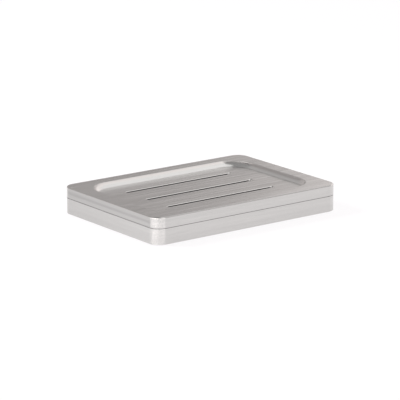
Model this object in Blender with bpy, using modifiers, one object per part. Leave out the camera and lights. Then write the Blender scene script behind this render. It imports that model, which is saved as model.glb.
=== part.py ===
"""Two-piece soap dish: a slotted drain tray that lifts off a hollow base standing on four feet.

Metres, +Z up. The origin is on the surface that the dish stands on, under its middle.
+X runs along the dish and -Y is its front.
"""

import math

import bmesh
import bpy
from mathutils import Matrix, Vector

# Outside of the dish, seen from above, and what both steel trays share
LENGTH = 0.140
WIDTH = 0.100
CORNER_RADIUS = 0.0075
EDGE_BREAK = 0.00025

# Gaps between neighbours
REST_GAP = 0.0003  # under whatever rests on something
SEAM_GAP = 0.0002  # the fine line round the dish, between base and drain tray
LIP_CLEARANCE = 0.0004
POCKET_CLEARANCE = 0.0002

# Base
STANDOFF = 0.0005  # how far the feet hold it up
BASE_HEIGHT = 0.00985
BASE_WALL = 0.0022
BASE_FLOOR = 0.0018
SUMP_FILLET = 0.0020

# Posts in the base, each under a boss of the drain tray
POST_RADIUS = 0.0045
POST_TO_LIP = 0.0015
BOSS_RADIUS = 0.0042

# Drain tray
TRAY_HEIGHT = 0.00685
RIM_WIDTH = 0.0095
WELL_CORNER_RADIUS = 0.0165
WELL_DEPTH = 0.0031
WELL_DRAFT = math.radians(20)  # how far the wall leans back at the top of its cove
COVE_WIDTH = 0.0034
TRAY_FLOOR = 0.0016
LIP_THICKNESS = 0.0016
LIP_DEPTH = 0.0030

# Drain slots
SLOT_COUNT = 3
SLOT_LENGTH = 0.082
SLOT_WIDTH = 0.0024
SLOT_PITCH = 0.0216
SLOT_END_SHARE = 0.45  # of the slot's width: the radius that rounds its ends, short of a half round

# Soft pieces
FOOT_RADIUS = 0.0050
FOOT_POCKET_DEPTH = 0.0009
FOOT_ROUND = 0.0003
PAD_RADIUS = 0.0028
PAD_THICKNESS = 0.0015
PAD_PROUD = 0.0008
PAD_ROUND = 0.0003

# Fineness of the curves
CORNER_SEGMENTS = 8
WELL_CORNER_SEGMENTS = 12
SLOT_END_SEGMENTS = 6
COVE_STEPS = 7
FILLET_STEPS = 4
DISC_SEGMENTS = 32
ROUND_SEGMENTS = 2

OVERRUN = 0.0010  # how far cutters run past what they cut, and joined shapes into each other

# Heights above the surface that the dish stands on
BASE_BOTTOM = STANDOFF
SUMP_BOTTOM = BASE_BOTTOM + BASE_FLOOR
BASE_TOP = BASE_BOTTOM + BASE_HEIGHT
TRAY_BOTTOM = BASE_TOP + SEAM_GAP
TRAY_TOP = TRAY_BOTTOM + TRAY_HEIGHT
WELL_BOTTOM = TRAY_TOP - WELL_DEPTH
TRAY_UNDERSIDE = WELL_BOTTOM - TRAY_FLOOR
PAD_TOP = TRAY_BOTTOM - REST_GAP
POST_TOP = PAD_TOP - PAD_PROUD
PAD_POCKET_BOTTOM = PAD_TOP - PAD_THICKNESS - REST_GAP

# The middles of posts, bosses, pads and feet, which share four upright axes
AXIS_INSET = BASE_WALL + LIP_CLEARANCE + LIP_THICKNESS + POST_TO_LIP + POST_RADIUS
CORNERS = {
    "front_left": Vector((AXIS_INSET - LENGTH / 2, AXIS_INSET - WIDTH / 2, 0)),
    "front_right": Vector((LENGTH / 2 - AXIS_INSET, AXIS_INSET - WIDTH / 2, 0)),
    "back_left": Vector((AXIS_INSET - LENGTH / 2, WIDTH / 2 - AXIS_INSET, 0)),
    "back_right": Vector((LENGTH / 2 - AXIS_INSET, WIDTH / 2 - AXIS_INSET, 0)),
}

STEEL_COLOUR = (0.60, 0.58, 0.57, 1)
SILICONE_COLOUR = (0.52, 0.53, 0.53, 1)
RUBBER_COLOUR = (0.03, 0.03, 0.03, 1)


def clear_scene():
    for obj in list(bpy.data.objects):
        bpy.data.objects.remove(obj, do_unlink=True)


def new_collection(name):
    collection = bpy.data.collections.new(name)
    bpy.context.scene.collection.children.link(collection)
    return collection


def principled(name, colour, roughness, metallic):
    material = bpy.data.materials.new(name)
    material.use_nodes = True
    shader = material.node_tree.nodes["Principled BSDF"]
    shader.inputs["Base Color"].default_value = colour
    shader.inputs["Roughness"].default_value = roughness
    shader.inputs["Metallic"].default_value = metallic
    return material


def rounded_block(length, width, radius, low, high, segments):
    """A box about the Z axis whose four upright edges are rounded, as a bmesh."""
    bm = bmesh.new()
    bmesh.ops.create_cube(bm, size=1)
    bmesh.ops.scale(bm, vec=(length, width, high - low), verts=bm.verts)
    bmesh.ops.translate(bm, vec=(0, 0, (low + high) / 2), verts=bm.verts)
    upright = [e for e in bm.edges if abs(e.verts[0].co.z - e.verts[1].co.z) > (high - low) / 2]
    bmesh.ops.bevel(bm, geom=upright, offset=radius, segments=segments, profile=0.5, affect="EDGES")
    return bm


def end_face(bm, up):
    """The flat face at the block's top (up = 1) or bottom (up = -1)."""
    return max(bm.faces, key=lambda face: up * face.calc_center_median().z)


def carry_on(bm, face, steps):
    """Carries an end face on through (inwards, outwards-along-its-normal) steps."""
    for inwards, along in steps:
        bmesh.ops.inset_region(bm, faces=[face], thickness=inwards, depth=along, use_even_offset=True)


def cove(width, depth, count, draft=0):
    """(inwards, down) steps of a piece of an ellipse that leans by the draft at first and ends level."""
    share = depth / width * math.tan(draft)
    start = math.asin(share / (1 - share))
    angles = [start + (math.pi / 2 - start) * i / count for i in range(count + 1)]
    for a, b in zip(angles, angles[1:]):
        inwards = width * (math.cos(a) - math.cos(b)) / math.cos(start)
        yield inwards, depth * (math.sin(b) - math.sin(a)) / (1 - math.sin(start))


def cutter(length, width, radius, mouth, segments, steps):
    """A block that breaks the edge of its mouth and goes on down by (inwards, down) steps."""
    flare = 2 * EDGE_BREAK
    bm = rounded_block(
        length + 2 * flare, width + 2 * flare, radius + flare, mouth + EDGE_BREAK, mouth + OVERRUN, segments
    )
    carry_on(bm, end_face(bm, -1), [(flare, flare), *steps])
    return bm


def discs(radius, low, high, middles):
    """One upright cylinder about each of the middles, as a bmesh."""
    bm = bmesh.new()
    for middle in middles:
        bmesh.ops.create_cone(
            bm,
            cap_ends=True,
            segments=DISC_SEGMENTS,
            radius1=radius,
            radius2=radius,
            depth=high - low,
            matrix=Matrix.Translation(middle + Vector((0, 0, (low + high) / 2))),
        )
    return bm


def add_object(name, bm, collection, material=None, origin=(0, 0, 0), parent=None):
    """Turns a bmesh in world places into an object with its origin where it is asked for."""
    bmesh.ops.translate(bm, vec=-Vector(origin), verts=bm.verts)
    mesh = bpy.data.meshes.new(name)
    bm.to_mesh(mesh)
    bm.free()
    obj = bpy.data.objects.new(name, mesh)
    collection.objects.link(obj)
    if material:
        mesh.materials.append(material)
    obj.parent = parent
    obj.location = Vector(origin) - (parent.location if parent else Vector())
    return obj


def add_tool(name, bm, collection):
    """A helper for a Boolean, which isn't part of the dish."""
    tool = add_object(name, bm, collection)
    tool.hide_render = True
    tool.display_type = "WIRE"
    return tool


def boolean(obj, tool, operation):
    modifier = obj.modifiers.new(f"{operation.lower()} {tool.name}", "BOOLEAN")
    modifier.operation = operation
    modifier.object = tool


def round_rims(obj, radius):
    modifier = obj.modifiers.new("rounded rims", "BEVEL")
    modifier.width = radius
    modifier.segments = ROUND_SEGMENTS
    modifier.limit_method = "ANGLE"
    modifier.angle_limit = math.radians(60)


def shade(obj):
    obj.data.shade_smooth()
    obj.data.set_sharp_from_angle(angle=math.radians(30))


def outer_block(bottom, top):
    """The dish's own outline between two heights, with the edges round its ends broken."""
    bm = rounded_block(LENGTH, WIDTH, CORNER_RADIUS, bottom + EDGE_BREAK, top - EDGE_BREAK, CORNER_SEGMENTS)
    for up in (-1, 1):
        carry_on(bm, end_face(bm, up), [(EDGE_BREAK, EDGE_BREAK)])
    return bm


def base_shell():
    """An open box with a filleted floor."""
    bm = outer_block(BASE_BOTTOM, BASE_TOP)
    wall_height = BASE_TOP - SUMP_BOTTOM
    carry_on(
        bm,
        end_face(bm, 1),
        [
            (BASE_WALL - 2 * EDGE_BREAK, 0),
            (EDGE_BREAK, -EDGE_BREAK),
            (0, EDGE_BREAK + SUMP_FILLET - wall_height),
            *((inwards, -down) for inwards, down in cove(SUMP_FILLET, SUMP_FILLET, FILLET_STEPS)),
        ],
    )
    return bm


def tray_blank():
    """The drain tray before its well and slots are cut: a plate with a locating lip under it."""
    bm = outer_block(TRAY_BOTTOM, TRAY_TOP)
    carry_on(
        bm,
        end_face(bm, -1),
        [
            (BASE_WALL + LIP_CLEARANCE - EDGE_BREAK, 0),
            (0, LIP_DEPTH - EDGE_BREAK),
            (EDGE_BREAK, EDGE_BREAK),
            (LIP_THICKNESS - EDGE_BREAK, 0),
            (0, -LIP_DEPTH - (TRAY_UNDERSIDE - TRAY_BOTTOM)),
        ],
    )
    return bm


def well_cutter():
    """The shape of the well: a cove all round, down to a flat floor."""
    return cutter(
        LENGTH - 2 * RIM_WIDTH,
        WIDTH - 2 * RIM_WIDTH,
        WELL_CORNER_RADIUS,
        TRAY_TOP,
        WELL_CORNER_SEGMENTS,
        cove(COVE_WIDTH, WELL_DEPTH - EDGE_BREAK, COVE_STEPS, WELL_DRAFT),
    )


def slot_cutter(y):
    """One drain slot, through the well's floor."""
    bm = cutter(
        SLOT_LENGTH,
        SLOT_WIDTH,
        SLOT_WIDTH * SLOT_END_SHARE,
        WELL_BOTTOM,
        SLOT_END_SEGMENTS,
        [(0, TRAY_FLOOR - EDGE_BREAK + OVERRUN)],
    )
    bmesh.ops.translate(bm, vec=(0, y, 0), verts=bm.verts)
    return bm


def make_base(dish, tools, steel):
    base = add_object("base_tray", base_shell(), dish, steel, origin=(0, 0, BASE_BOTTOM))
    middles = CORNERS.values()
    posts = discs(POST_RADIUS, SUMP_BOTTOM - BASE_FLOOR / 2, POST_TOP, middles)
    pad_pockets = discs(PAD_RADIUS + POCKET_CLEARANCE, PAD_POCKET_BOTTOM, POST_TOP + OVERRUN, middles)
    foot_pocket_top = BASE_BOTTOM + FOOT_POCKET_DEPTH
    foot_pockets = discs(FOOT_RADIUS + POCKET_CLEARANCE, BASE_BOTTOM - OVERRUN, foot_pocket_top, middles)
    boolean(base, add_tool("posts", posts, tools), "UNION")
    boolean(base, add_tool("pad pockets", pad_pockets, tools), "DIFFERENCE")
    boolean(base, add_tool("foot pockets", foot_pockets, tools), "DIFFERENCE")
    shade(base)
    return base


def make_drain_tray(dish, tools, steel):
    tray = add_object("drain_tray", tray_blank(), dish, steel, origin=(0, 0, TRAY_BOTTOM))
    bosses = discs(BOSS_RADIUS, TRAY_BOTTOM, TRAY_UNDERSIDE + TRAY_FLOOR / 2, CORNERS.values())
    boolean(tray, add_tool("bosses", bosses, tools), "UNION")
    boolean(tray, add_tool("well", well_cutter(), tools), "DIFFERENCE")
    for i in range(SLOT_COUNT):
        y = (i - (SLOT_COUNT - 1) / 2) * SLOT_PITCH
        boolean(tray, add_tool(f"slot {i}", slot_cutter(y), tools), "DIFFERENCE")
    shade(tray)


def make_feet(dish, base, rubber):
    for place, corner in CORNERS.items():
        shape = discs(FOOT_RADIUS, 0, BASE_BOTTOM + FOOT_POCKET_DEPTH - REST_GAP, [corner])
        foot = add_object(f"foot_{place}", shape, dish, rubber, corner, base)
        round_rims(foot, FOOT_ROUND)
        shade(foot)


def make_seat_pads(dish, base, silicone):
    for place, corner in CORNERS.items():
        shape = discs(PAD_RADIUS, PAD_TOP - PAD_THICKNESS, PAD_TOP, [corner])
        pad = add_object(f"seat_pad_{place}", shape, dish, silicone, corner, base)
        round_rims(pad, PAD_ROUND)
        shade(pad)


def main():
    clear_scene()
    dish = new_collection("soap_dish")
    tools = new_collection("shaping tools")
    steel = principled("brushed steel", STEEL_COLOUR, roughness=0.35, metallic=1)
    base = make_base(dish, tools, steel)
    make_drain_tray(dish, tools, steel)
    make_feet(dish, base, principled("foot rubber", RUBBER_COLOUR, roughness=0.8, metallic=0))
    make_seat_pads(dish, base, principled("pad silicone", SILICONE_COLOUR, roughness=0.5, metallic=0))


main()
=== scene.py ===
"""Looks of a two-part brushed steel soap dish: a slotted drain tray over a hollow base with feet.

Metres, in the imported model's frame: +X along the dish, -Y its front, +Z up, 0 the surface under it.
"""

import math

import bmesh
import bpy
from mathutils import Matrix, Vector


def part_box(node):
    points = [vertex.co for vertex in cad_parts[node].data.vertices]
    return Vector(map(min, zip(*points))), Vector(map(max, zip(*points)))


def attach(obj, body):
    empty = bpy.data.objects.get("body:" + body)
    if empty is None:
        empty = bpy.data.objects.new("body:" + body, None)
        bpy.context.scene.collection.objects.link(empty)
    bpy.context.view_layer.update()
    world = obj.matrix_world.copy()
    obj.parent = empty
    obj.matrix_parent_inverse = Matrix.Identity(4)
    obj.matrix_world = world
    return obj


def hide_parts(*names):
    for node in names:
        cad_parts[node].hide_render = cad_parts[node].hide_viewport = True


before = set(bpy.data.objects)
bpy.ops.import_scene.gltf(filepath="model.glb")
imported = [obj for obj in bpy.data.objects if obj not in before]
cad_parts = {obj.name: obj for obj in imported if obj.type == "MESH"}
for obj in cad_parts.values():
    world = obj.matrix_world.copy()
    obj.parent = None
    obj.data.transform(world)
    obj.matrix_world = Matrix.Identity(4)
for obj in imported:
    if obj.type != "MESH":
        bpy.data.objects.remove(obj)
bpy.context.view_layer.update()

# Outline and heights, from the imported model, and the names of the four corners
BASE_LOW, BASE_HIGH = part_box("base_tray")
_, TRAY_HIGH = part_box("drain_tray")
LENGTH = BASE_HIGH.x - BASE_LOW.x
WIDTH = BASE_HIGH.y - BASE_LOW.y
PLACES = [f"{end}_{side}" for end in ("front", "back") for side in ("left", "right")]

# Both steel trays
CORNER_RADIUS = 0.0075
EDGE_ROUND = 0.00018
TOP_ROUND = 0.00072
SEAM_ROUND = 0.00006
MOUTH_ROUND = 0.00030
SEAM_GAP = 0.0002

# Base tray
BASE_WALL = 0.0022
BASE_FLOOR = 0.0018
SUMP_FILLET = 0.0020
POST_RADIUS = 0.0045

# Drain tray
RIM_WIDTH = 0.0098
WELL_CORNER_RADIUS = 0.0165
WELL_DEPTH = 0.0031
WELL_DRAFT = math.radians(20)  # how far the wall leans back at the top of its cove
COVE_WIDTH = 0.0034
TRAY_FLOOR = 0.0016
LIP_THICKNESS = 0.0016
LIP_DEPTH = 0.0030
LIP_CLEARANCE = 0.0004
BOSS_RADIUS = 0.0042

# Drain slots
SLOT_COUNT = 3
SLOT_LENGTH = 0.082
SLOT_WIDTH = 0.0024
SLOT_ROUND = 0.00036
SLOT_PITCH = 0.0216
SLOT_END_SHARE = 0.45  # of the slot's width: the radius that rounds its ends, short of a half round
RUN_OUT_LENGTH = 0.0013  # of the small chamfer at the back of each slot's right end
RUN_OUT_SIDE = 0.0011
RUN_OUT_TURN = math.radians(45)

# Feet and seat pads, and the pockets that they sit in
POCKET_CLEARANCE = 0.0002
REST_GAP = 0.0003
PAD_PROUD = 0.0008
PAD_ROUND = 0.0005
FOOT_ROUND = 0.0003
SOLE_LAND = 0.0009
SOLE_GROOVE_WIDTH = 0.0007
SOLE_GROOVE_DEPTH = 0.00025
SOLE_GROOVE_COUNT = 2

# Heights that both trays are built from
BASE_BOTTOM = BASE_LOW.z
SUMP_BOTTOM = BASE_BOTTOM + BASE_FLOOR
BASE_TOP = BASE_HIGH.z
TRAY_BOTTOM = BASE_TOP + SEAM_GAP
TRAY_TOP = TRAY_HIGH.z
WELL_BOTTOM = TRAY_TOP - WELL_DEPTH
TRAY_UNDERSIDE = WELL_BOTTOM - TRAY_FLOOR

# Fineness of the curves
CORNER_SEGMENTS = 24
WELL_CORNER_SEGMENTS = 40
SLOT_END_SEGMENTS = 10
COVE_STEPS = 20
FILLET_STEPS = 8
ROUND_STEPS = 4
DISC_SEGMENTS = 64

OVERRUN = 0.001  # how far cutters run past what they cut, and joined shapes into each other
NEAR = 1e-6  # how close a place has to be to count as the same
LEVEL_FACE = 0.9  # least upward part of a normal for a face to count as level
SHARP_EDGE = math.radians(35)  # turn between two faces from which their edge stays sharp
FLAT_FACE_WEIGHT = 100  # how far the large faces lead the shading round them

# Camera, as fitted to the photograph: where its middle line passes the dish, and from how far
CAMERA_AZIMUTH = math.radians(-36.90)
CAMERA_ELEVATION = math.radians(14.70)
CAMERA_DISTANCE = 1.5368
CAMERA_SIDEWAYS = -0.00027
CAMERA_RAISED = 0.00674
CAMERA_LENS = 221.8
CAMERA_SENSOR = 36.0
CAMERA_REACH = 100

# Brushed steel: colour and gloss, and noise per metre along and across the grain
STEEL_COLOUR = (0.63, 0.62, 0.61)
STEEL_ROUGHNESS = 0.22
ROUGHNESS_SPREAD = 0.03
STEEL_ANISOTROPY = 0.9
LEVEL_VARIATION = 0.13
SIDE_VARIATION = 0.07
STREAK_ALONG = 9
STREAK_ACROSS = 420
STREAK_DETAIL = 3
STREAK_SHIFT = 2.6
LINE_ALONG = 90
LINE_ACROSS = 5200
LINE_DETAIL = 2
LINE_SHARE = 0.4
LINE_DEPTH = 0.000003
NOISE_FALLOFF = 0.6
NOISE_LOW = 0.3  # the noise seldom goes below this
NOISE_HIGH = 0.7  # or above this
LEVEL_FROM = 0.985  # upward part of the normal where a side's grain begins to give way
LEVEL_TO = 0.999  # and where a level face's has taken over

# Painted shade on the steel: the left end darker above the seam, towards the back and in one streak, the
# long sides, and the long top edges
SIDE_FROM = 0.98  # outward part of the normal where a flat side begins
SIDE_TO = 0.999  # and where its painted shade is full
LEFT_TRAY_SHADE = 0.86
LEFT_FAR_SHADE = 0.90
LEFT_SHADE_STREAK_TONE = 0.90
LEFT_SHADE_STREAK_HEIGHT = 0.0139
LEFT_SHADE_STREAK_HALF = 0.0008
LEFT_SHADE_STREAK_EDGE = 0.0012
LONG_SIDE_SHADE = 0.965
TOP_EDGE_SHADE = 0.62
TOP_EDGE_LEAN = math.radians(15)  # how far the surface leans where the edge's rounding begins
TOP_EDGE_SOFTNESS = 0.05
TOP_EDGE_LEAST_UP = 0.15  # upward part of the normal where the upright side takes over
TOP_EDGE_MOST_ALONG = 0.15  # part of the normal along the dish where the corners begin

# Painted shade on the walls of the drain slots: dark, and dull
SLOT_SHADE_COLOUR = (0.05, 0.05, 0.05)
SLOT_SHADE_ROUGHNESS = 0.6
SLOT_SHADE_EDGE = 0.0001  # height over which the brushing gives way to the painted shade
SLOT_SHADE_SKIN = 0.00002  # least height over the tray's underside, which stays bright
SLOT_UNSHADED_END = 0.002  # length of their right ends left out of the painted shade, as bright steel

# Rubber of the feet: noise per metre for its grain
RUBBER_COLOUR = (0.03, 0.03, 0.03)
RUBBER_ROUGHNESS = 0.8
RUBBER_GRAIN = 9000
RUBBER_GRAIN_DEPTH = 0.00002
RUBBER_GRAIN_STRENGTH = 0.5

# Silicone of the seat pads: two tones of cloud, and how far light goes in
SILICONE_COLOUR = (0.52, 0.53, 0.53)
SILICONE_DARK = (0.48, 0.49, 0.49)
SILICONE_LIGHT = (0.56, 0.57, 0.57)
SILICONE_ROUGHNESS = 0.45
SILICONE_CLOUD = 1500
SILICONE_DEPTH = 0.001
SILICONE_DEPTH_SHARE = 0.4
SOFT_DETAIL = 2  # of the noise in both

# Stage
FLOOR_SIZE = 8
FLOOR_COLOUR = (0.8, 0.8, 0.8)
FLOOR_GLOW = 1.085
FLOOR_TINT = (1.0, 0.985, 0.995)
FLOOR_GLOW_SHARE = 0.8

# Studio: soft lamps in a dim, slightly warm room over a white backdrop; headings turn from +X to +Y
ROOM_LEVEL = 0.365
ROOM_TINT = (1.058, 1.0, 0.985)
TINT_TOP = math.radians(35)
TINT_EDGE = math.radians(30)
SOFTBOX = {
    "towards": math.radians(-16.5),
    "half_width": math.radians(65.5),
    "side_edge": math.radians(7),
    "foot": math.radians(8),
    "top": math.radians(110),
    "end_edge": math.radians(12),
    "strength": 0.82,
}
LOW_CARD = {
    "towards": math.radians(-168),
    "half_width": math.radians(28),
    "side_edge": math.radians(20),
    "foot": math.radians(-30),
    "top": math.radians(12),
    "end_edge": math.radians(8),
    "strength": 2.4,
}
WIDE_CARD = {
    "towards": math.radians(-145),
    "half_width": math.radians(72),
    "side_edge": math.radians(40),
    "foot": math.radians(-30),
    "top": math.radians(12),
    "end_edge": math.radians(8),
    "strength": 3.0,
}
BACK_STRIP = {
    "towards": math.radians(90),
    "half_width": math.radians(28),
    "side_edge": math.radians(20),
    "foot": math.radians(-30),
    "top": math.radians(51),
    "end_edge": math.radians(24),
    "strength": 0.2,
}
# A black card, which takes light away
DARK_FLAG = {
    "towards": math.radians(-148),
    "half_width": math.radians(64),
    "side_edge": math.radians(24),
    "foot": math.radians(8),
    "top": math.radians(28),
    "end_edge": math.radians(12),
    "strength": -0.3,
}
LAMPS = (SOFTBOX, BACK_STRIP, DARK_FLAG)
CARDS = (LOW_CARD, WIDE_CARD)  # these stand in front of the backdrop
SHADOW_LAMP = {
    "towards": math.radians(138),
    "height": math.radians(42),
    "distance": 1.0,
    "size": 0.30,
    "power": 6.0,
}
BACKDROP_TOP = math.radians(3)
BACKDROP_EDGE = math.radians(4)


def only(piece):
    """Selects one object alone and makes it the active one."""
    bpy.ops.object.select_all(action="DESELECT")
    piece.select_set(True)
    bpy.context.view_layer.objects.active = piece


def select_edges(piece, test):
    """In edit mode, selects just the edges whose two ends pass a test."""
    bpy.ops.mesh.select_mode(type="EDGE")
    bpy.ops.mesh.select_all(action="DESELECT")
    shape = bmesh.from_edit_mesh(piece.data)
    for edge in shape.edges:
        if test(edge.verts[0].co, edge.verts[1].co):
            edge.select_set(True)
    bmesh.update_edit_mesh(piece.data)


def select_end(piece, up):
    """In edit mode, selects just the flat face at the top (up = 1) or the bottom (up = -1)."""
    bpy.ops.mesh.select_mode(type="FACE")
    bpy.ops.mesh.select_all(action="DESELECT")
    shape = bmesh.from_edit_mesh(piece.data)
    level = [face for face in shape.faces if face.normal.z * up > LEVEL_FACE]
    end = max(level, key=lambda face: up * face.calc_center_median().z)
    end.select_set(True)
    shape.faces.active = end
    bmesh.update_edit_mesh(piece.data)


def inset(steps, along=1):
    """In edit mode, carries the selected face inwards and on along its normal, or back (along = -1)."""
    for inwards, onwards in steps:
        bpy.ops.mesh.inset(thickness=inwards, depth=onwards * along, use_even_offset=True)


def push(height):
    """In edit mode, extrudes the selected face straight up, or down where the height is negative."""
    bpy.ops.mesh.extrude_region_move(TRANSFORM_OT_translate={"value": (0, 0, height)})


def leaning_cove(width, depth, count, draft):
    """(inwards, onwards) steps of part of an ellipse that leans by the draft at first and ends level."""
    share = depth / width * math.tan(draft)
    start = math.asin(share / (1 - share))
    turns = [start + (math.pi / 2 - start) * i / count for i in range(count + 1)]
    for a, b in zip(turns, turns[1:]):
        inwards = width * (math.cos(a) - math.cos(b)) / math.cos(start)
        yield inwards, depth * (math.sin(b) - math.sin(a)) / (1 - math.sin(start))


def quarter(width, depth, count, level_first=False):
    """(inwards, onwards) steps of a quarter-ellipse that starts onwards and ends level, or reversed."""
    turns = [math.pi / 2 * i / count for i in range(count + 1)]
    for a, b in zip(turns, turns[1:]):
        if level_first:
            yield width * (math.sin(b) - math.sin(a)), depth * (math.cos(a) - math.cos(b))
        else:
            yield width * (math.cos(a) - math.cos(b)), depth * (math.sin(b) - math.sin(a))


def block(name, length, width, radius, low, high, segments):
    """A box about the Z axis whose four upright edges are rounded."""
    bpy.ops.object.select_all(action="DESELECT")
    bpy.ops.mesh.primitive_cube_add(size=1, location=(0, 0, (low + high) / 2))
    piece = bpy.context.object
    piece.name = name
    piece.scale = (length, width, high - low)
    bpy.ops.object.transform_apply(location=True, rotation=False, scale=True)
    bpy.ops.object.mode_set(mode="EDIT")
    select_edges(piece, lambda a, b: abs(a.z - b.z) > (high - low) / 2)
    bpy.ops.mesh.bevel(offset=radius, segments=segments, profile=0.5, affect="EDGES")
    bpy.ops.object.mode_set(mode="OBJECT")
    return piece


def round_rim(piece, height, radius):
    """In edit mode, rounds the edges that run level at one height."""
    select_edges(piece, lambda a, b: abs(a.z - height) < NEAR and abs(b.z - height) < NEAR)
    bpy.ops.mesh.bevel(offset=radius, segments=ROUND_STEPS, profile=0.5, affect="EDGES")


def outer_block(name, bottom, top, bottom_round, top_round):
    """The dish's own outline between two heights, with the edges round its ends rounded."""
    piece = block(name, LENGTH, WIDTH, CORNER_RADIUS, bottom, top, CORNER_SEGMENTS)
    bpy.ops.object.mode_set(mode="EDIT")
    round_rim(piece, bottom, bottom_round)
    round_rim(piece, top, top_round)
    bpy.ops.object.mode_set(mode="OBJECT")
    return piece


def cutter(name, length, width, radius, mouth, segments, flare, steps):
    """A block that rounds the edge of its mouth and goes on down by (inwards, down) steps."""
    mouth_length, mouth_width = length + 2 * flare, width + 2 * flare
    piece = block(name, mouth_length, mouth_width, radius + flare, mouth, mouth + OVERRUN, segments)
    bpy.ops.object.mode_set(mode="EDIT")
    select_end(piece, -1)
    inset(quarter(flare, flare, ROUND_STEPS, level_first=True))
    inset(steps)
    bpy.ops.object.mode_set(mode="OBJECT")
    return piece


def discs(name, radius, low, high, middles, rounded=0):
    """One upright cylinder about each of the middles, as a single object, with its rims rounded."""
    bpy.ops.object.select_all(action="DESELECT")
    made = []
    for middle in middles:
        bpy.ops.mesh.primitive_cylinder_add(
            vertices=DISC_SEGMENTS,
            radius=radius,
            depth=high - low,
            location=(middle.x, middle.y, (low + high) / 2),
        )
        made.append(bpy.context.object)
    for disc in made:
        disc.select_set(True)
    if len(made) > 1:
        bpy.ops.object.join()
    piece = bpy.context.object
    piece.name = name
    bpy.ops.object.transform_apply(location=True, rotation=False, scale=False)
    if rounded:
        bpy.ops.object.mode_set(mode="EDIT")
        select_edges(piece, lambda a, b: abs(a.z - b.z) < NEAR)
        bpy.ops.mesh.bevel(offset=rounded, segments=ROUND_STEPS, profile=0.5, affect="EDGES")
        bpy.ops.object.mode_set(mode="OBJECT")
    return piece


def cut(piece, tool, operation):
    """Applies a Boolean of a tool to a piece, and removes the tool."""
    only(piece)
    modifier = piece.modifiers.new(f"{operation.lower()} {tool.name}", "BOOLEAN")
    modifier.operation = operation
    modifier.solver = "EXACT"
    modifier.object = tool
    bpy.ops.object.modifier_apply(modifier=modifier.name)
    bpy.data.objects.remove(tool, do_unlink=True)


def smooth(piece):
    """Smooth shading between sharp edges, with the large flat faces kept flat."""
    only(piece)
    bpy.ops.object.shade_smooth_by_angle(angle=SHARP_EDGE)
    modifier = piece.modifiers.new("weighted normals", "WEIGHTED_NORMAL")
    modifier.keep_sharp = True
    modifier.weight = FLAT_FACE_WEIGHT
    bpy.ops.object.modifier_apply(modifier=modifier.name)


def stands_for(piece, node, material):
    """Puts a finished piece in the place of its CAD node."""
    body = "drain_tray" if node == "drain_tray" else "base"
    piece.data.materials.clear()
    piece.data.materials.append(material)
    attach(piece, body)
    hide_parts(node)


def make_base(middles, pads, steel):
    """The base tray: an open box with a filleted sump, posts with pad pockets, and foot pockets."""
    pad_low, pad_high = pads
    post_top = pad_high.z - PAD_PROUD
    base = outer_block("base_tray_brushed", BASE_BOTTOM, BASE_TOP, EDGE_ROUND, SEAM_ROUND)
    bpy.ops.object.mode_set(mode="EDIT")
    select_end(base, 1)
    inset([(BASE_WALL - SEAM_ROUND - MOUTH_ROUND, 0)])
    inset(quarter(MOUTH_ROUND, MOUTH_ROUND, ROUND_STEPS, level_first=True), along=-1)
    push(SUMP_BOTTOM + SUMP_FILLET - (BASE_TOP - MOUTH_ROUND))
    inset(quarter(SUMP_FILLET, SUMP_FILLET, FILLET_STEPS), along=-1)
    bpy.ops.object.mode_set(mode="OBJECT")
    posts = discs("posts", POST_RADIUS, SUMP_BOTTOM - BASE_FLOOR / 2, post_top, middles, MOUTH_ROUND)
    cut(base, posts, "UNION")
    pad_radius = (pad_high.x - pad_low.x) / 2 + POCKET_CLEARANCE
    pockets = discs("pad pockets", pad_radius, pad_low.z - REST_GAP, post_top + OVERRUN, middles)
    cut(base, pockets, "DIFFERENCE")
    foot_low, foot_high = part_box(f"foot_{PLACES[0]}")
    foot_radius = (foot_high.x - foot_low.x) / 2 + POCKET_CLEARANCE
    pocket_top = foot_high.z + REST_GAP
    pockets = discs("foot pockets", foot_radius, BASE_BOTTOM - OVERRUN, pocket_top, middles)
    cut(base, pockets, "DIFFERENCE")
    smooth(base)
    stands_for(base, "base_tray", steel)
    return base


def make_well_cutter():
    """The shape of the well: a rounded mouth, then a cove all round, down to a flat floor."""
    return cutter(
        "well",
        LENGTH - 2 * RIM_WIDTH,
        WIDTH - 2 * RIM_WIDTH,
        WELL_CORNER_RADIUS,
        TRAY_TOP,
        WELL_CORNER_SEGMENTS,
        MOUTH_ROUND,
        leaning_cove(COVE_WIDTH, WELL_DEPTH - MOUTH_ROUND, COVE_STEPS, WELL_DRAFT),
    )


def slot_row(i):
    """How far back a drain slot lies, counted from the front one."""
    return (i - (SLOT_COUNT - 1) / 2) * SLOT_PITCH


def make_slot_cutters():
    """One drain slot's shape, and a copy of it for each of the others."""
    steps = [(0, TRAY_FLOOR - SLOT_ROUND + OVERRUN)]
    radius = SLOT_WIDTH * SLOT_END_SHARE
    first = cutter(
        "slot 0",
        SLOT_LENGTH,
        SLOT_WIDTH,
        radius,
        WELL_BOTTOM,
        SLOT_END_SEGMENTS,
        SLOT_ROUND,
        steps,
    )
    slots = [first]
    for i in range(1, SLOT_COUNT):
        slot = first.copy()
        slot.data = first.data.copy()
        slot.name = f"slot {i}"
        bpy.context.collection.objects.link(slot)
        slots.append(slot)
    for i, slot in enumerate(slots):
        slot.data.transform(Matrix.Translation((0, slot_row(i), 0)))
    return slots


def make_run_outs():
    """Three short bars turned on edge, which chamfer the back of each slot's right end."""
    bars = []
    for i in range(SLOT_COUNT):
        bpy.ops.object.select_all(action="DESELECT")
        bpy.ops.mesh.primitive_cube_add(
            size=1,
            location=(
                (SLOT_LENGTH - RUN_OUT_LENGTH) / 2,
                slot_row(i) + SLOT_WIDTH / 2,
                WELL_BOTTOM,
            ),
            rotation=(RUN_OUT_TURN, 0, 0),
        )
        bar = bpy.context.object
        bar.name = f"run out {i}"
        bar.scale = (RUN_OUT_LENGTH, RUN_OUT_SIDE, RUN_OUT_SIDE)
        bpy.ops.object.transform_apply(location=True, rotation=True, scale=True)
        bars.append(bar)
    return bars


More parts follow.
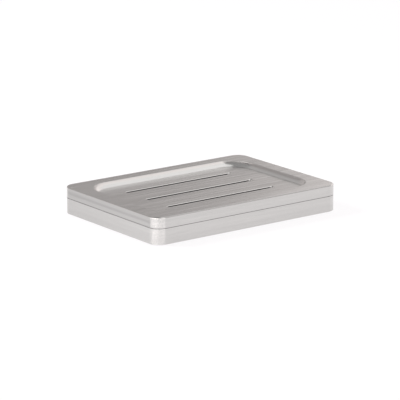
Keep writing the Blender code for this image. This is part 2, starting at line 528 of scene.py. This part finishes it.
def make_drain_tray(middles, steel):
    """The drain tray: a plate with a lip and four bosses under it, a coved well and three slots."""
    tray = outer_block("drain_tray_brushed", TRAY_BOTTOM, TRAY_TOP, SEAM_ROUND, TOP_ROUND)
    bpy.ops.object.mode_set(mode="EDIT")
    select_end(tray, -1)
    inset([(BASE_WALL + LIP_CLEARANCE - SEAM_ROUND, 0)])
    push(MOUTH_ROUND - LIP_DEPTH)
    inset(quarter(MOUTH_ROUND, MOUTH_ROUND, ROUND_STEPS))
    inset([(LIP_THICKNESS - 2 * MOUTH_ROUND, 0)])
    inset(quarter(MOUTH_ROUND, MOUTH_ROUND, ROUND_STEPS, level_first=True), along=-1)
    push(LIP_DEPTH - MOUTH_ROUND + TRAY_UNDERSIDE - TRAY_BOTTOM)
    bpy.ops.object.mode_set(mode="OBJECT")
    boss_top = TRAY_UNDERSIDE + TRAY_FLOOR / 2
    bosses = discs("bosses", BOSS_RADIUS, TRAY_BOTTOM, boss_top, middles, MOUTH_ROUND)
    cut(tray, bosses, "UNION")
    cut(tray, make_well_cutter(), "DIFFERENCE")
    for tool in make_slot_cutters() + make_run_outs():
        cut(tray, tool, "DIFFERENCE")
    smooth(tray)
    stands_for(tray, "drain_tray", steel)
    return tray


def at_each_corner(first, kind, finish, material):
    """Copies a soft piece from the first corner to the others, and puts each in its node's place."""
    home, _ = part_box(f"{kind}_{PLACES[0]}")
    pieces = [first]
    for place in PLACES[1:]:
        piece = first.copy()
        piece.data = first.data.copy()
        bpy.context.collection.objects.link(piece)
        low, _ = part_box(f"{kind}_{place}")
        piece.data.transform(Matrix.Translation(low - home))
        pieces.append(piece)
    for place, piece in zip(PLACES, pieces):
        piece.name = f"{kind}_{place}_{finish}"
        stands_for(piece, f"{kind}_{place}", material)


def make_feet(rubber):
    """Four rubber feet, with ring grooves in their soles."""
    low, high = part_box(f"foot_{PLACES[0]}")
    foot = discs("foot", (high.x - low.x) / 2, low.z, high.z, [(low + high) / 2], FOOT_ROUND)
    bpy.ops.object.mode_set(mode="EDIT")
    select_end(foot, -1)
    for _ in range(SOLE_GROOVE_COUNT):
        inset([(SOLE_LAND, 0)])
        push(SOLE_GROOVE_DEPTH)
        inset([(SOLE_GROOVE_WIDTH, 0)])
        push(-SOLE_GROOVE_DEPTH)
    bpy.ops.object.mode_set(mode="OBJECT")
    smooth(foot)
    at_each_corner(foot, "foot", "rubber", rubber)


def make_seat_pads(silicone):
    """Four silicone pads that the drain tray rests on."""
    low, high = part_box(f"seat_pad_{PLACES[0]}")
    pad = discs("seat_pad", (high.x - low.x) / 2, low.z, high.z, [(low + high) / 2], PAD_ROUND)
    smooth(pad)
    at_each_corner(pad, "seat_pad", "silicone", silicone)


def new_material(name, colour, roughness, metallic):
    """A material with its Principled shader set to plain values."""
    material = bpy.data.materials.new(name)
    material.use_nodes = True
    shader = material.node_tree.nodes["Principled BSDF"]
    shader.inputs["Base Color"].default_value = (*colour, 1)
    shader.inputs["Roughness"].default_value = roughness
    shader.inputs["Metallic"].default_value = metallic
    return material, shader


def add_node(tree, kind, values=None, **settings):
    """A node with its settings, and values for its inputs by name or number."""
    node = tree.nodes.new(kind)
    for name, value in settings.items():
        setattr(node, name, value)
    for key, value in (values or {}).items():
        if isinstance(value, bpy.types.NodeSocket):
            tree.links.new(value, node.inputs[key])
        else:
            node.inputs[key].default_value = value
    return node


def between(tree, value, start, end, low=0, high=1, kind="LINEAR"):
    """Goes from low to high as a value goes from its start to its end, and no further."""
    ramp = add_node(
        tree,
        "ShaderNodeMapRange",
        {"Value": value, "From Min": start, "From Max": end, "To Min": low, "To Max": high},
        interpolation_type=kind,
    )
    return ramp.outputs[0]


def up_to(tree, value, limit, edge):
    """1 where a value is below a limit, easing to 0 across a soft edge."""
    return between(tree, value, limit - edge / 2, limit + edge / 2, 1, 0, "SMOOTHSTEP")


def combine(tree, operation, *values):
    """One maths node on one to three values."""
    return add_node(tree, "ShaderNodeMath", dict(enumerate(values)), operation=operation).outputs[0]


def product(tree, first, *others):
    """Several values multiplied together."""
    for other in others:
        first = combine(tree, "MULTIPLY", first, other)
    return first


def mix(tree, share, first, second):
    """Goes over from a first number to a second one as a share goes from 0 to 1."""
    values = {0: share, 2: first, 3: second}
    return add_node(tree, "ShaderNodeMix", values, data_type="FLOAT").outputs[0]


def mix_colours(tree, share, first, second):
    """Goes over from a first colour to a second one as a share goes from 0 to 1."""
    values = {0: share, 6: first, 7: second}
    return add_node(tree, "ShaderNodeMix", values, data_type="RGBA").outputs[2]


def streaks(tree, place, level, along, across, detail):
    """Noise drawn out along the grain: lengthwise on level faces, and round the dish elsewhere."""
    noises = []
    for scale in ((along, along, across), (along, across, across)):
        drawn_out = {"Vector": place, "Location": (0, 0, STREAK_SHIFT), "Scale": scale}
        mapping = add_node(tree, "ShaderNodeMapping", drawn_out)
        noise = add_node(
            tree,
            "ShaderNodeTexNoise",
            {
                "Vector": mapping.outputs["Vector"],
                "Scale": 1,
                "Detail": detail,
                "Roughness": NOISE_FALLOFF,
            },
        )
        noises.append(noise.outputs["Fac"])
    return mix(tree, level, *noises)


def left_end_shade(tree, parts):
    """Painted shade on the left end: darker above the seam and towards the back, and in one streak."""
    height = parts.outputs["Z"]
    far = between(tree, parts.outputs["Y"], -WIDTH / 2, WIDTH / 2, 1, LEFT_FAR_SHADE)
    tray = mix(tree, combine(tree, "GREATER_THAN", height, BASE_TOP), 1, LEFT_TRAY_SHADE)
    off = combine(tree, "ABSOLUTE", combine(tree, "SUBTRACT", height, LEFT_SHADE_STREAK_HEIGHT))
    streak = mix(tree, up_to(tree, off, LEFT_SHADE_STREAK_HALF, LEFT_SHADE_STREAK_EDGE), 1, LEFT_SHADE_STREAK_TONE)
    return product(tree, far, tray, streak)


def on_long_top_edges(tree, parts, facing):
    """1 on the rounded top edges of the dish's two long sides, where their shade is painted, and 0
    elsewhere.
    """
    up = facing.outputs["Z"]
    leaning = up_to(tree, up, math.cos(TOP_EDGE_LEAN), TOP_EDGE_SOFTNESS)
    not_upright = combine(tree, "GREATER_THAN", up, TOP_EDGE_LEAST_UP)
    sideways = combine(tree, "ABSOLUTE", parts.outputs["Y"])
    outside = combine(tree, "GREATER_THAN", sideways, WIDTH / 2 - OVERRUN)
    along = combine(tree, "ABSOLUTE", facing.outputs["X"])
    straight = combine(tree, "LESS_THAN", along, TOP_EDGE_MOST_ALONG)
    return product(tree, leaning, not_upright, outside, straight)


def painted_shade(tree, parts, facing):
    """Painted shade: how much darker the steel is on the left end, the long sides and the long top
    edges.
    """
    left = between(tree, facing.outputs["X"], -SIDE_FROM, -SIDE_TO, kind="SMOOTHSTEP")
    across = combine(tree, "ABSOLUTE", facing.outputs["Y"])
    # Painted shade on the long sides, full on their flat parts
    long_side = between(tree, across, SIDE_FROM, SIDE_TO, kind="SMOOTHSTEP")
    return product(
        tree,
        mix(tree, left, 1, left_end_shade(tree, parts)),
        mix(tree, long_side, 1, LONG_SIDE_SHADE),
        mix(tree, on_long_top_edges(tree, parts, facing), 1, TOP_EDGE_SHADE),
    )


def on_slot_shade(tree, parts):
    """1 on the walls of the drain slots, under their rounded mouths, where their shade is painted, and 0
    elsewhere.
    """
    along, across, height = (parts.outputs[axis] for axis in "XYZ")
    below = up_to(tree, height, WELL_BOTTOM - SLOT_ROUND + SLOT_SHADE_EDGE, SLOT_SHADE_EDGE)
    above = combine(tree, "GREATER_THAN", height, TRAY_UNDERSIDE + SLOT_SHADE_SKIN)
    left = combine(tree, "GREATER_THAN", along, -SLOT_LENGTH / 2 - OVERRUN)
    right = up_to(tree, along, SLOT_LENGTH / 2 - SLOT_UNSHADED_END, SLOT_UNSHADED_END)
    side = combine(tree, "LESS_THAN", combine(tree, "ABSOLUTE", across), SLOT_PITCH + SLOT_WIDTH)
    return product(tree, below, above, left, right, side)


def make_steel():
    """Steel with fine lines and streaks, brushed lengthwise on level faces and level on the sides, with
    painted shade on the left end, the long sides, the long top edges and the slot walls.
    """
    material, shader = new_material("brushed steel", STEEL_COLOUR, STEEL_ROUGHNESS, 1)
    tree = material.node_tree
    spot = add_node(tree, "ShaderNodeTexCoord")
    place = spot.outputs["Object"]
    parts = add_node(tree, "ShaderNodeSeparateXYZ", {0: place})
    facing = add_node(tree, "ShaderNodeSeparateXYZ", {0: spot.outputs["Normal"]})
    upness = combine(tree, "ABSOLUTE", facing.outputs["Z"])
    level = between(tree, upness, LEVEL_FROM, LEVEL_TO, kind="SMOOTHSTEP")
    broad = streaks(tree, place, level, STREAK_ALONG, STREAK_ACROSS, STREAK_DETAIL)
    fine = streaks(tree, place, level, LINE_ALONG, LINE_ACROSS, LINE_DETAIL)
    both = mix(tree, LINE_SHARE, broad, fine)
    slot_shade = on_slot_shade(tree, parts)

    swing = between(tree, both, NOISE_LOW, NOISE_HIGH, -1, 1)
    variation = mix(tree, level, SIDE_VARIATION, LEVEL_VARIATION)
    tone = combine(tree, "MULTIPLY_ADD", swing, variation, 1)
    # The grain's tone times the painted shade
    grain_and_shade = product(tree, tone, painted_shade(tree, parts, facing))
    brushed = {0: STEEL_COLOUR, "Scale": grain_and_shade}
    colour = add_node(tree, "ShaderNodeVectorMath", brushed, operation="SCALE").outputs[0]
    # Painted shade: the slot walls turn dark
    surface = mix_colours(tree, slot_shade, colour, (*SLOT_SHADE_COLOUR, 1))
    tree.links.new(surface, shader.inputs["Base Color"])

    low, high = STEEL_ROUGHNESS - ROUGHNESS_SPREAD, STEEL_ROUGHNESS + ROUGHNESS_SPREAD
    polish = between(tree, both, NOISE_LOW, NOISE_HIGH, low, high)
    tree.links.new(mix(tree, slot_shade, polish, SLOT_SHADE_ROUGHNESS), shader.inputs["Roughness"])
    bump = add_node(tree, "ShaderNodeBump", {"Strength": 1, "Distance": LINE_DEPTH, "Height": fine})
    tree.links.new(bump.outputs[0], shader.inputs["Normal"])

    # Highlights stretch across the grain: from front to back on level faces, and upright elsewhere
    stretch = {0: level, 4: (0, 0, 1), 5: (0, 1, 0)}
    tangent = add_node(tree, "ShaderNodeMix", stretch, data_type="VECTOR").outputs[1]
    tree.links.new(tangent, shader.inputs["Tangent"])
    shader.inputs["Anisotropic"].default_value = STEEL_ANISOTROPY
    return material


def soft_noise(tree, scale):
    """Even noise through a soft piece."""
    place = add_node(tree, "ShaderNodeTexCoord").outputs["Object"]
    values = {"Vector": place, "Scale": scale, "Detail": SOFT_DETAIL}
    return add_node(tree, "ShaderNodeTexNoise", values).outputs["Fac"]


def make_rubber():
    """Dull black rubber with a fine grain."""
    material, shader = new_material("foot rubber", RUBBER_COLOUR, RUBBER_ROUGHNESS, 0)
    tree = material.node_tree
    bump = add_node(
        tree,
        "ShaderNodeBump",
        {
            "Strength": RUBBER_GRAIN_STRENGTH,
            "Distance": RUBBER_GRAIN_DEPTH,
            "Height": soft_noise(tree, RUBBER_GRAIN),
        },
    )
    tree.links.new(bump.outputs[0], shader.inputs["Normal"])
    return material


def make_silicone():
    """Cloudy grey silicone, soft to the light."""
    material, shader = new_material("pad silicone", SILICONE_COLOUR, SILICONE_ROUGHNESS, 0)
    shader.inputs["Subsurface Weight"].default_value = SILICONE_DEPTH_SHARE
    shader.inputs["Subsurface Scale"].default_value = SILICONE_DEPTH
    tree = material.node_tree
    cloud = soft_noise(tree, SILICONE_CLOUD)
    tint = mix_colours(tree, cloud, (*SILICONE_DARK, 1), (*SILICONE_LIGHT, 1))
    tree.links.new(tint, shader.inputs["Base Color"])
    return material


def make_camera():
    """The camera at the photograph's viewing angle."""
    tilt = Matrix.Rotation(math.pi / 2 - CAMERA_ELEVATION, 4, "X")
    turn = Matrix.Rotation(CAMERA_AZIMUTH, 4, "Z") @ tilt
    middle = Matrix.Translation((0, 0, BASE_BOTTOM))
    data = bpy.data.cameras.new("camera")
    data.lens = CAMERA_LENS
    data.sensor_width = CAMERA_SENSOR
    data.clip_end = CAMERA_REACH
    camera = bpy.data.objects.new("camera", data)
    bpy.context.scene.collection.objects.link(camera)
    stand = Matrix.Translation((CAMERA_SIDEWAYS, CAMERA_RAISED, CAMERA_DISTANCE))
    camera.matrix_world = middle @ turn @ stand
    bpy.context.scene.camera = camera


def white_rays(tree):
    """1 for the rays that see a white floor: the camera's, and those in gloss and glass."""
    path = add_node(tree, "ShaderNodeLightPath").outputs
    seen = combine(tree, "MAXIMUM", path["Is Camera Ray"], path["Is Glossy Ray"])
    return combine(tree, "MAXIMUM", seen, path["Is Transmission Ray"])


def make_floor():
    """A plain white floor that keeps a faint shadow of the dish."""
    bpy.ops.object.select_all(action="DESELECT")
    bpy.ops.mesh.primitive_plane_add(size=FLOOR_SIZE, location=(0, 0, 0))
    floor = bpy.context.object
    floor.name = "floor"
    material, shader = new_material("white floor", FLOOR_COLOUR, 1, 0)
    shader.inputs["Specular IOR Level"].default_value = 0
    tree = material.node_tree
    glow = add_node(tree, "ShaderNodeEmission", {"Color": (*FLOOR_TINT, 1), "Strength": FLOOR_GLOW})
    share = product(tree, white_rays(tree), FLOOR_GLOW_SHARE)
    shaders = {0: share, 1: shader.outputs[0], 2: glow.outputs[0]}
    surface = add_node(tree, "ShaderNodeMixShader", shaders)
    tree.links.new(surface.outputs[0], tree.nodes["Material Output"].inputs["Surface"])
    floor.data.materials.append(material)


def add_lamp(tree, heading, height, lamp):
    """How strongly a soft-edged lamp in the sky shines from each direction."""
    turned = combine(tree, "SUBTRACT", heading, lamp["towards"])
    away = combine(tree, "WRAP", turned, math.pi, -math.pi)
    across = up_to(tree, combine(tree, "ABSOLUTE", away), lamp["half_width"], lamp["side_edge"])
    below_top = up_to(tree, height, lamp["top"], lamp["end_edge"])
    below_foot = up_to(tree, height, lamp["foot"], lamp["end_edge"])
    upright = combine(tree, "SUBTRACT", below_top, below_foot)
    return product(tree, across, upright, lamp["strength"])


def make_shadow_lamp():
    """A soft lamp high at the back left: it gives the floor its faint shadow and shows in no gloss."""
    height, turn = SHADOW_LAMP["height"], SHADOW_LAMP["towards"]
    level = math.cos(height)
    way = Vector((level * math.cos(turn), level * math.sin(turn), math.sin(height)))
    bpy.ops.object.light_add(
        type="AREA",
        radius=SHADOW_LAMP["size"],
        location=way * SHADOW_LAMP["distance"],
        rotation=way.to_track_quat("Z", "Y").to_euler(),
    )
    lamp = bpy.context.object
    lamp.name = "shadow lamp"
    lamp.data.energy = SHADOW_LAMP["power"]
    lamp.visible_glossy = False


def make_world():
    """The studio: a dim room with soft lamps, a white backdrop low down, and cards in front of it."""
    world = bpy.data.worlds.new("studio")
    world.use_nodes = True
    bpy.context.scene.world = world
    tree = world.node_tree
    background = tree.nodes["Background"]
    towards = add_node(tree, "ShaderNodeTexCoord").outputs["Generated"]
    parts = add_node(tree, "ShaderNodeSeparateXYZ", {0: towards}).outputs
    heading = combine(tree, "ARCTAN2", parts["Y"], parts["X"])
    height = combine(tree, "ARCSINE", parts["Z"])
    camera_ray = add_node(tree, "ShaderNodeLightPath").outputs["Is Camera Ray"]

    room = ROOM_LEVEL
    for lamp in LAMPS:
        room = combine(tree, "ADD", room, add_lamp(tree, heading, height, lamp))
    backdrop = up_to(tree, height, BACKDROP_TOP, BACKDROP_EDGE)
    studio = mix(tree, backdrop, room, 1)
    for card in CARDS:
        studio = combine(tree, "ADD", studio, add_lamp(tree, heading, height, card))
    tree.links.new(mix(tree, camera_ray, studio, 1), background.inputs["Strength"])

    # The room's warm tint stays between the backdrop and the neutral ceiling
    neutral = combine(tree, "SUBTRACT", 1, up_to(tree, height, TINT_TOP, TINT_EDGE))
    white = combine(tree, "MAXIMUM", combine(tree, "MAXIMUM", backdrop, neutral), camera_ray)
    tint = mix_colours(tree, white, (*ROOM_TINT, 1), (1, 1, 1, 1))
    tree.links.new(tint, background.inputs["Color"])


def main():
    """Builds the camera, the dish's ten pieces and the stage."""
    bpy.context.scene.view_settings.view_transform = "Standard"
    make_camera()
    steel = make_steel()
    middles = []
    for place in PLACES:
        low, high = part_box(f"foot_{place}")
        middles.append((low + high) / 2)
    make_base(middles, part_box(f"seat_pad_{PLACES[0]}"), steel)
    make_drain_tray(middles, steel)
    make_feet(make_rubber())
    make_seat_pads(make_silicone())
    make_floor()
    make_shadow_lamp()
    make_world()


main()
